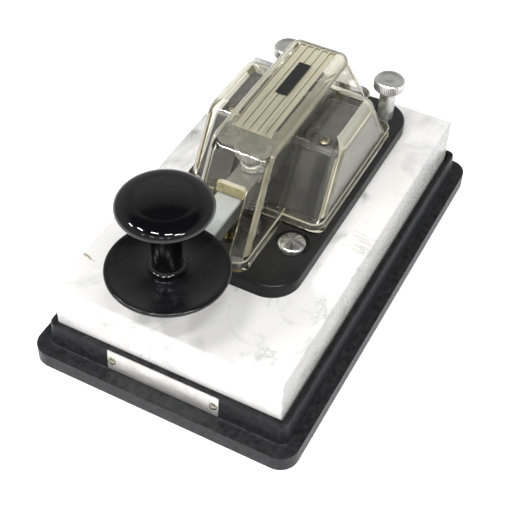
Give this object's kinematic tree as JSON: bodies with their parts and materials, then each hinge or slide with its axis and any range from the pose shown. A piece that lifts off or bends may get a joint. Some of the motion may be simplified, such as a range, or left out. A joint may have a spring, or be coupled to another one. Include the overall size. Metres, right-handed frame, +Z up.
{
  "type": "straight telegraph key",
  "caption": "Straight hand telegraph key on a marble slab in a black stepped tray, with a skirted knob, sprung lever, rear thumb-nut terminals and a clear lift-off cover.",
  "frame": {"origin": "centre of the whole key's footprint, on the surface its rubber feet stand on", "axes": "+Z up, -Y towards the operator's knob, +X to the operator's right"},
  "size_m": [0.11, 0.186, 0.1007],
  "materials": {
    "tray_plastic": "satin black moulding",
    "foot_rubber": "matt",
    "marble": "polished, soft grey veins",
    "nameplate_metal": "bare, fine brushed",
    "plate_plastic": "satin black moulding",
    "knob_plastic": "polished",
    "block_plastic": "smooth black moulding",
    "bright_metal": "polished plating",
    "satin_metal": "satin plating",
    "lever_metal": "satin plated",
    "zinc_steel": "plated fasteners",
    "brass": "turned",
    "contact_silver": "polished silver",
    "spring_steel": "drawn wire",
    "clear_plastic": "clear moulding, yellowed",
    "label_black": "bare embossing strip"
  },
  "bodies": {
    "root": {"base_tray": "tray_plastic", "rubber_feet": "foot_rubber", "foot_screws": "zinc_steel", "marble_slab": "marble", "nameplate": "nameplate_metal", "nameplate_rivets": "zinc_steel", "mechanism_plate": "plate_plastic", "front_dome_bolts": "bright_metal", "clamp_washers": "zinc_steel", "clamp_nuts": "zinc_steel", "left_terminal_post": "satin_metal", "right_terminal_post": "satin_metal", "contact_strap": "brass", "frame_strap": "brass", "left_bearing_block": "block_plastic", "right_bearing_block": "block_plastic", "block_screws": "zinc_steel", "pivot_bushes": "brass", "pivot_washers": "brass", "lower_contact": "brass", "lower_contact_nut": "brass", "spring_seat": "brass", "return_spring": "spring_steel", "rear_stop": "brass"},
    "lever": {"lever_arm": "lever_metal", "pivot_shaft": "satin_metal", "knob_skirt": "knob_plastic", "knob_button": "knob_plastic", "knob_screw": "zinc_steel", "upper_contact": "contact_silver", "spring_cap": "brass"},
    "spring_adjuster": {"spring_screw": "satin_metal"},
    "spring_lock": {"spring_lock_nut": "satin_metal"},
    "gap_adjuster": {"gap_screw": "satin_metal"},
    "gap_lock": {"gap_lock_nut": "satin_metal"},
    "left_thumb_nut": {"left_terminal_nut": "satin_metal"},
    "right_thumb_nut": {"right_terminal_nut": "satin_metal"},
    "cover": {"clear_cover": "clear_plastic", "label_strip": "label_black"}
  },
  "joints": [
    {"name": "lever_rock", "type": "hinge", "parent": "root", "child": "lever", "pos_m": [0, 0.01195, 0.0615], "axis": [1, 0, 0], "range_deg": [0, 0.85], "stiffness_Nm_per_rad": 1.8, "springref_deg": -8.59, "deforming": ["return_spring"]},
    {"name": "spring_screw_turn", "type": "hinge", "parent": "lever", "child": "spring_adjuster", "pos_m": [0, -0.01105, 0.065], "axis": [0, 0, 1], "range_deg": [-720, 720]},
    {"name": "spring_lock_turn", "type": "hinge", "parent": "spring_adjuster", "child": "spring_lock", "pos_m": [0, -0.01105, 0.065], "axis": [0, 0, 1], "range_deg": [0, 360]},
    {"name": "gap_screw_turn", "type": "hinge", "parent": "lever", "child": "gap_adjuster", "pos_m": [0, 0.03795, 0.065], "axis": [0, 0, 1], "range_deg": [-180, 720]},
    {"name": "gap_lock_turn", "type": "hinge", "parent": "gap_adjuster", "child": "gap_lock", "pos_m": [0, 0.03795, 0.065], "axis": [0, 0, 1], "range_deg": [0, 360]},
    {"name": "left_terminal_turn", "type": "hinge", "parent": "root", "child": "left_thumb_nut", "pos_m": [-0.0227, 0.06485, 0.0562], "axis": [0, 0, 1], "range_deg": [0, 1080]},
    {"name": "right_terminal_turn", "type": "hinge", "parent": "root", "child": "right_thumb_nut", "pos_m": [0.0227, 0.06485, 0.0562], "axis": [0, 0, 1], "range_deg": [0, 1080]},
    {"name": "cover_lift", "type": "slide", "parent": "root", "child": "cover", "axis": [0, 0, 1], "range_m": [0, 0.06]}
  ]
}
